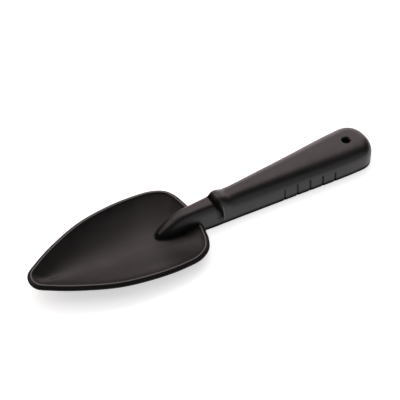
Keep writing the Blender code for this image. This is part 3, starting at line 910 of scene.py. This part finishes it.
def screw():
    """One screw at x = 0, with its head down."""
    head_top = SCREW_SINK + SCREW_HEAD_HEIGHT
    cut = SHOULDER * SHOULDER_CUT
    made = turned("cover_screws", 0, (
        (0, SCREW_SINK),
        (SCREW_HEAD_RADIUS - SHOULDER, SCREW_SINK),
        (SCREW_HEAD_RADIUS - cut, SCREW_SINK + cut),
        (SCREW_HEAD_RADIUS, SCREW_SINK + SHOULDER),
        (SCREW_HEAD_RADIUS, head_top),
        (0, head_top),
    ))
    arms = []
    for length, width in ((RECESS_LENGTH, RECESS_WIDTH), (RECESS_WIDTH, RECESS_LENGTH)):
        bm = bmesh.new()
        bmesh.ops.create_cube(bm, size=1.0)
        for vertex in bm.verts:
            inside = vertex.co.z > 0
            taper = RECESS_TAPER if inside else 1.0
            vertex.co.x *= length * taper
            vertex.co.y *= width * taper
            vertex.co.z = SCREW_SINK + (RECESS_DEPTH if inside else -RECESS_DEPTH)
        arms.append(new_object("arm", bm))
    return combine(made, arms, "DIFFERENCE")


def row_tree():
    """Geometry nodes that repeat their input from a start to an end."""
    tree, value = open_tree("screw_row", (
        ("Screw", "Geometry"), ("Count", "Int"), ("Start", "Vector"), ("End", "Vector"),
        ("Material", "Material")))
    points = tree.node("GeometryNodeMeshLine", {"mode": "END_POINTS"}, {
        "Count": value["Count"], "Start Location": value["Start"], "Offset": value["End"]})
    placed = tree.node("GeometryNodeInstanceOnPoints",
                       inputs={"Points": points, "Instance": value["Screw"]})
    return close_tree(tree, "Screws", placed, value["Material"])


screws = screw()
use_tree(screws, row_tree(), {"Count": SCREW_COUNT, "Start": (SCREW_FIRST_X, 0, 0),
                              "End": (SCREW_LAST_X, 0, 0)})
smooth(screws)
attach(screws, "root")
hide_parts("cover_screw_1", "cover_screw_2", "cover_screw_3", "cover_screw_4")

# %% [markdown]
# ## Light and floor
# Black plastic has almost no colour of its own: what is seen on it is the room, mirrored in a
# dull gloss. So the light comes first. Broad panels stand behind the trowel, to its left and
# low on its right, a small card lights the handle from behind, a weak fill stands in front, and
# the white floor glows. So the tops are grey, the shoulders that face the camera dark, and the
# upright sides lighter, where they mirror the floor. The last lamp is there for the table:
# gloss doesn't mirror it.

# %% Floor
FLOOR_SIZE = 6.0
FLOOR_GREY = 0.80
FLOOR_ROUGHNESS = 0.9
FLOOR_GLOW = 0.55  # the photographed floor is overexposed
FLOOR_DROP = 0.0001  # keeps the floor clear of the cover's flat face


def set_shader(shader, values):
    """Set sockets of a shader that are the same all over the surface."""
    for name, value in values.items():
        shader.inputs[name].default_value = value


def floor():
    bm = bmesh.new()
    bmesh.ops.create_grid(bm, x_segments=1, y_segments=1, size=FLOOR_SIZE / 2)
    bmesh.ops.translate(bm, verts=bm.verts, vec=(0, 0, -FLOOR_DROP))
    made = add_to_scene("floor", bm)
    material = bpy.data.materials.new("pale_floor")
    material.use_nodes = True
    set_shader(material.node_tree.nodes["Principled BSDF"], {
        "Base Color": (FLOOR_GREY, FLOOR_GREY, FLOOR_GREY, 1), "Roughness": FLOOR_ROUGHNESS,
        "Specular IOR Level": 0.0, "Emission Color": (1, 1, 1, 1),
        "Emission Strength": FLOOR_GLOW})
    made.data.materials.append(material)
    return made


print("floor's width in m:", floor().dimensions.x)

# %% Lights
WARM = (1.0, 0.83, 0.84)
WHITE = (1.0, 1.0, 1.0)
BACKDROP_COLOUR = (1.0, 0.98, 0.96, 1)
BACKDROP = 1.0  # brightness that the camera sees
ROOM = 0.07  # and that the gloss mirrors
MIDDLE = (0, 0, 0)
# Name, place, the point it faces, width and height, watts, colour, and whether gloss mirrors it
SOFT_LIGHTS = (
    ("back_panel", (0.55, 1.20, 1.60), MIDDLE, (3.0, 1.2), 23.5, WARM, True),
    ("left_panel", (-1.30, 0.90, 1.10), MIDDLE, (1.4, 0.9), 7.5, WARM, True),
    ("low_panel", (1.7, 1.75, 0.65), MIDDLE, (2.0, 1.1), 10, WARM, True),
    ("near_card", (0.36, 0.75, 0.12), (0.08, 0, 0), (0.35, 0.25), 0.45, WARM, True),
    ("front_fill", (0.3, -2.0, 0.9), MIDDLE, (3.0, 1.6), 8.0, WHITE, True),
    ("table_light", (0, 0, 2.4), MIDDLE, (3.0, 3.0), 30, WHITE, False),
)


def soft_light(name, place, target, size, power, colour, mirrored):
    """A rectangular soft box that faces its target. Where it isn't mirrored, gloss misses it."""
    data = bpy.data.lights.new(name, "AREA")
    data.shape = "RECTANGLE"
    data.size, data.size_y = size
    data.energy = power
    data.color = colour
    light = bpy.data.objects.new(name, data)
    light.location = place
    light.rotation_euler = (Vector(target) - Vector(place)).to_track_quat("-Z", "Y").to_euler()
    light.visible_glossy = mirrored
    light.visible_camera = False
    bpy.context.scene.collection.objects.link(light)
    return light


def studio_light():
    world = bpy.data.worlds.new("studio")
    bpy.context.scene.world = world
    world.use_nodes = True
    background = world.node_tree.nodes["Background"]
    background.inputs["Color"].default_value = BACKDROP_COLOUR
    tree = Tree(world.node_tree)
    seen_directly = tree.node("ShaderNodeLightPath", output="Is Camera Ray")
    tree.link(ROOM + (BACKDROP - ROOM) * seen_directly, background.inputs["Strength"])
    return [soft_light(*values).name for values in SOFT_LIGHTS]


print("lights:", studio_light())
bpy.context.scene.view_settings.view_transform = "Standard"

# %% [markdown]
# ## Creases and edges
# Shade is painted into the moulding's corners by dulling their gloss, and highlights are painted
# on the bead and the stop's lip by paling them. This could be painted by hand. Here each vertex
# stores for the material how deep it lies in a crease, how far in from the blade's edge, and
# whether on the stop's lip.

# %% Creases and edges
RIM_REACH = 0.012  # the inset from the edge is measured up to here
ROW_TOLERANCE = FIT_GAP / 12  # a point this close to a row lies on it
STOP_SHADE_HOLD = 1.5  # above 1 the painted shade keeps its full depth for longer
STOP_SHADE_LOW = 0.005  # below this height the stop's sides get no painted shade
STOP_SHADE_FADE = 0.003
CORNER_REACH = 0.0045  # how far the painted shade reaches from the nose's foot into the dish
CORNER_HEIGHT = 0.0050  # and how high it lies on the nose
FAR_CORNER_EXTRA = 0.003  # it lies higher on the far side
CORNER_FADE = 0.002
NOSE_FADE_IN = 0.08  # shares of the nose over which the painted shade comes and goes
NOSE_FADE_OUT = 0.3
FLAT_ENOUGH = 0.6  # upward part of the normal in the dish
STEEP_START = 0.3  # sideways part where the walls begin
STEEP_FADE = 0.25
# strength of the painted shade in the finger grooves
GROOVE_SHADE = 0.5
GROOVE_SHARE = 0.9  # share of a groove's half width that is marked
LIP_LOW = 0.003  # the lip's painted highlight starts here, and is weaker on its crown
LIP_HIGH = 0.016
LIP_FADE = 0.004
CROWN_LOSS = 0.8
BEHIND_HEEL = 0.0015  # the blade's edge is searched this far behind the heel


def on_section(place, section):
    """Whether a point lies on the section's own row of points."""
    up = max(place.z - section.wall, 0.0) / (section.top - section.wall)
    across = max(1 - up ** section.squareness, 0.0) ** (1 / section.squareness)
    x = between(section.apex_x, section.x, across ** section.bulge)
    return abs(place.x - x) < ROW_TOLERANCE


def stop_shade_mask(place):
    """Painted shade, 1 at the root of the stop's face, falling to 0 at its lip."""
    if not STOP_X - STOP_REACH - FIT_GAP < place.x < STOP_X + 2 * FIT_GAP:
        return 0.0
    face = stop_sections()
    for number, section in enumerate(face[:-1]):
        if on_section(place, section):
            left = STOP_SHADE_HOLD * (1 - max(number - 1, 0) / STOP_FACE_STEPS)
            return min(left, 1.0) * eased((place.z - STOP_SHADE_LOW) / STOP_SHADE_FADE)
    return 0.0


def nose_shade_mask(place, normal):
    """Painted shade, 1 in the corner between the nose's side walls and the dish."""
    share = (place.x - NOSE_X) / NOSE_LENGTH
    if not 0 < share < 1:
        return 0.0
    away = abs(place.y) - NECK_FRONT_WIDTH / 2 * (1 - (1 - share) ** NOSE_SHARPNESS)
    fade = eased(share / NOSE_FADE_IN) * eased((1 - share) / NOSE_FADE_OUT)
    if normal.z > FLAT_ENOUGH and place.z < CORNER_HEIGHT + FLOOR_HEIGHT:
        return fade * eased(1 - away / CORNER_REACH)
    height = CORNER_HEIGHT + (FAR_CORNER_EXTRA if place.y > 0 else 0.0)
    low = eased((height - place.z) / CORNER_FADE + 0.5)
    return fade * low * eased((abs(normal.y) - STEEP_START) / STEEP_FADE)


def groove_shade_mask(place):
    """Painted shade, full at the bottom of a finger groove, falling to 0 at the wall."""
    number = round((place.x - STOP_X - GROOVE_FIRST) / GROOVE_PITCH)
    middle = STOP_X + GROOVE_FIRST + number * GROOVE_PITCH
    inside = abs(place.x - middle) < GROOVE_RADIUS * GROOVE_SHARE and place.z < GROOVE_HEIGHT
    if not 0 <= number < GROOVE_COUNT or not inside:
        return 0.0
    depth = handle_section(place.x).width_at(place.z) - abs(place.y)
    return GROOVE_SHADE * eased(depth / GROOVE_DEPTH)


def lip_highlight_mask(place):
    """1 on the sharp lip of the thumb stop, where a highlight is painted."""
    lip = stop_sections()[-1]
    if not on_section(place, lip):
        return 0.0
    crown = eased((place.z - LIP_HIGH) / LIP_FADE)
    return eased((place.z - LIP_LOW) / LIP_FADE) * (1 - CROWN_LOSS * crown)


def store(mesh, name, values):
    data = mesh.attributes.new(name, "FLOAT", "POINT").data
    for item, value in zip(data, values):
        item.value = value


def mark_body(piece):
    """Store on the vertices their painted crease shade, their inset from the blade's edge and the
    stop's painted lip highlight.
    """
    mesh = piece.data
    edge = blade_edge()
    tree = KDTree(len(edge))
    for i, point in enumerate(edge):
        tree.insert((point.x, point.y, 0), i)
    tree.balance()
    crease_shades = []
    insets = []
    lip_highlights = []
    for vertex in mesh.vertices:
        place = vertex.co
        crease_shades.append(max(stop_shade_mask(place), nose_shade_mask(place, vertex.normal),
                           groove_shade_mask(place)))
        lip_highlights.append(lip_highlight_mask(place))
        away = tree.find((place.x, place.y, 0))[2]
        on_blade = place.x < HEEL_X + BEHIND_HEEL and away < RIM_REACH
        if place.x > NOSE_X + NOSE_LENGTH / 2 and abs(place.y) < neck_width(place.x) + FIT_GAP:
            on_blade = False
        insets.append(away if on_blade else RIM_REACH)
    store(mesh, "crease", crease_shades)
    store(mesh, "inset", insets)
    store(mesh, "lip", lip_highlights)
    for name, values in (("in a crease", crease_shades), ("on the stop's lip", lip_highlights)):
        print("vertices", name + ":", sum(value > 0 for value in values))


mark_body(body)

# %% [markdown]
# ## Moulded plastic
# Black plastic takes a cloudy satin gloss from its mould. Two noises make that: a broad one varies
# the roughness, and both lift the bump. As painted shade, a dull shader is mixed in in creases,
# edge lines and at the seam, and partly on the heel and round the dish. Bead and lip are paler, as
# painted highlights. A varying specular level would be simpler, but it is left unlinked here.

# %% Satin surfaces
CLOUD_SCALE = 90.0
CLOUD_DETAIL = 3.0
CLOUD_ROUGHNESS = 0.20  # how much clouds vary the roughness
CLOUD_LIFT = 2  # their height against the grain's
GRAIN_SCALE = 1800.0
GRAIN_DETAIL = 2.0
BUMP_STRENGTH = 0.15
BUMP_DEPTH = 0.0002
BLADE_ROUGHNESS = 0.06  # added from the nose to the tip
BLADE_RISE = (NOSE_X + 0.02, NOSE_X + 0.006)


def noise(tree, scale, detail):
    where = tree.node("ShaderNodeTexCoord", output="Object")
    return tree.node("ShaderNodeTexNoise", {"noise_dimensions": "3D"},
                     {"Vector": where, "Scale": scale, "Detail": detail})


def axis(tree, name):
    """Where a point of the surface lies along one axis of its object."""
    where = tree.node("ShaderNodeTexCoord", output="Object")
    return tree.node("ShaderNodeSeparateXYZ", inputs={"Vector": where}, output=name)


def rise(value, start, end):
    """0 up to the start, 1 from the end on, with a smooth rise between them."""
    return value.tree.node("ShaderNodeMapRange", {"interpolation_type": "SMOOTHSTEP"},
                           {"Value": value, "From Min": start, "From Max": end})


def satin(name, colour, roughness, metallic=0.0):
    """A satin surface: a clouded gloss over a fine grain."""
    material = bpy.data.materials.new(name)
    material.use_nodes = True
    tree = Tree(material.node_tree)
    shader = material.node_tree.nodes["Principled BSDF"]
    set_shader(shader, {"Base Color": (*colour, 1), "Metallic": metallic})
    cloud = noise(tree, CLOUD_SCALE, CLOUD_DETAIL)
    grain = noise(tree, GRAIN_SCALE, GRAIN_DETAIL)
    on_blade = rise(axis(tree, "X"), *BLADE_RISE)
    clouded = roughness + CLOUD_ROUGHNESS * (cloud - 0.5) + BLADE_ROUGHNESS * on_blade
    tree.link(clouded, shader.inputs["Roughness"])
    bump = tree.node("ShaderNodeBump", inputs={
        "Height": grain + CLOUD_LIFT * cloud, "Strength": BUMP_STRENGTH, "Distance": BUMP_DEPTH})
    tree.link(bump, shader.inputs["Normal"])
    return material


cover_plastic = satin("cover_plastic", (0.014, 0.0135, 0.013), 0.50)
zinc_steel = satin("zinc_steel", (0.55, 0.56, 0.57), 0.35, metallic=1.0)
print("nodes of a satin surface:", len(cover_plastic.node_tree.nodes))

# %% Plastic of the moulding
BODY_COLOUR = (0.0045, 0.004, 0.0037)
BODY_ROUGHNESS = 0.38
# paler colour of the painted highlight on the bead and the stop's lip
HIGHLIGHT_COLOUR = (0.110, 0.098, 0.094)
DULL_ROUGHNESS = 0.9
DULL_GLOSS = 0.02  # gloss that is left where shade is painted
# How much painted shade, from the dull shader, each place gets, at most
EDGE_SHADE = 0.9
VALLEY_SHADE = 0.7
SEAM_SHADE = 0.9
HEEL_SHADE = 0.65
RIM_SHADE = 0.55
# how strong the painted highlight on the lip is, at most
LIP_HIGHLIGHT = 0.8
# Where these places lie, as a middle and the distance over which they fade
EDGE_LINE = (0.0006, 0.0013)
VALLEY_LINE = (BEAD_INSET - BEAD_RADIUS, 0.0009)
BEAD_LINE = (BEAD_INSET, 0.0007)
RIM_LINE = (BEAD_INSET, RIM_REACH - BEAD_INSET)
SEAM_LINE = (0.0, 0.0045)
SEAM_GAIN = 2  # the painted shadow at the seam is full over half its reach
LOW_LINE = (0.003, 0.012)
HEEL_RISE = (HEEL_X - 0.042, HEEL_X - 0.010)
RIM_RISE = (TIP_X + 0.015, TIP_X + 0.060)
BLADE_END = HEEL_X + 0.001


def mark(tree, name):
    return tree.node("ShaderNodeAttribute", {"attribute_name": name}, output="Fac")


def line(value, middle, half_width):
    """1 where the value is at the middle, falling to 0 at half_width from it."""
    return value.tree.node("ShaderNodeMath", {"operation": "SUBTRACT", "use_clamp": True},
                           {0: 1.0, 1: (value - middle).math("ABSOLUTE") / half_width})


def painted_shade_mask(tree, inset):
    """How much of the dull shader shows as painted shade, from 0 to 1."""
    height = axis(tree, "Z")
    along = axis(tree, "X")
    behind_blade = along.math("GREATER_THAN", BLADE_END)
    in_dish = inset.math("GREATER_THAN", BEAD_INSET + BEAD_RADIUS) * (1 - behind_blade)
    # Painted shade: low in the dish towards the heel, round the dish's rim, and a shadow along the
    # grip's lower edge
    heel = rise(along, *HEEL_RISE) * in_dish * line(height, *LOW_LINE)
    rim = line(inset, *RIM_LINE) * in_dish * rise(along, *RIM_RISE)
    seam = line(height, *SEAM_LINE) * behind_blade * SEAM_GAIN
    mask = mark(tree, "crease")
    # Painted shade also on lines at the blade's outer edge and inside the bead, and in the creases
    for most, place in ((EDGE_SHADE, line(inset, *EDGE_LINE)),
                        (VALLEY_SHADE, line(inset, *VALLEY_LINE)),
                        (SEAM_SHADE, seam), (HEEL_SHADE, heel), (RIM_SHADE, rim)):
        mask = mask.math("MAXIMUM", most * place)
    return mask


def body_plastic():
    """The moulding's plastic, with painted shade in creases and on the seam and painted highlights
    on bead and lip.
    """
    material = satin("black_plastic", BODY_COLOUR, BODY_ROUGHNESS)
    nodes = material.node_tree.nodes
    tree = Tree(material.node_tree)
    shader = nodes["Principled BSDF"]
    # A dull copy of the plastic, mixed in where shade is painted
    dull = nodes.new("ShaderNodeBsdfPrincipled")
    set_shader(dull, {"Base Color": (*BODY_COLOUR, 1), "Roughness": DULL_ROUGHNESS,
                      "Specular IOR Level": DULL_GLOSS})
    inset = mark(tree, "inset")
    mixed = tree.node("ShaderNodeMixShader", inputs={
        0: painted_shade_mask(tree, inset), 1: Socket(tree, shader.outputs["BSDF"]),
        2: Socket(tree, dull.outputs["BSDF"])})
    tree.link(mixed, nodes["Material Output"].inputs["Surface"])
    # Painted highlight: the bead's crest and the stop's lip are paler.
    painted_highlight = line(inset, *BEAD_LINE).math("MAXIMUM", LIP_HIGHLIGHT * mark(tree, "lip"))
    tint = tree.node("ShaderNodeMix", {"data_type": "RGBA"}, {
        0: painted_highlight, "A": (*BODY_COLOUR, 1), "B": (*HIGHLIGHT_COLOUR, 1)}, output=2)
    tree.link(tint, shader.inputs["Base Color"])
    return material


black_plastic = body_plastic()
for piece, material in ((body, black_plastic), (cover, cover_plastic), (screws, zinc_steel)):
    piece.data.materials.clear()
    piece.data.materials.append(material)
    print(piece.name, "is made of", material.name)
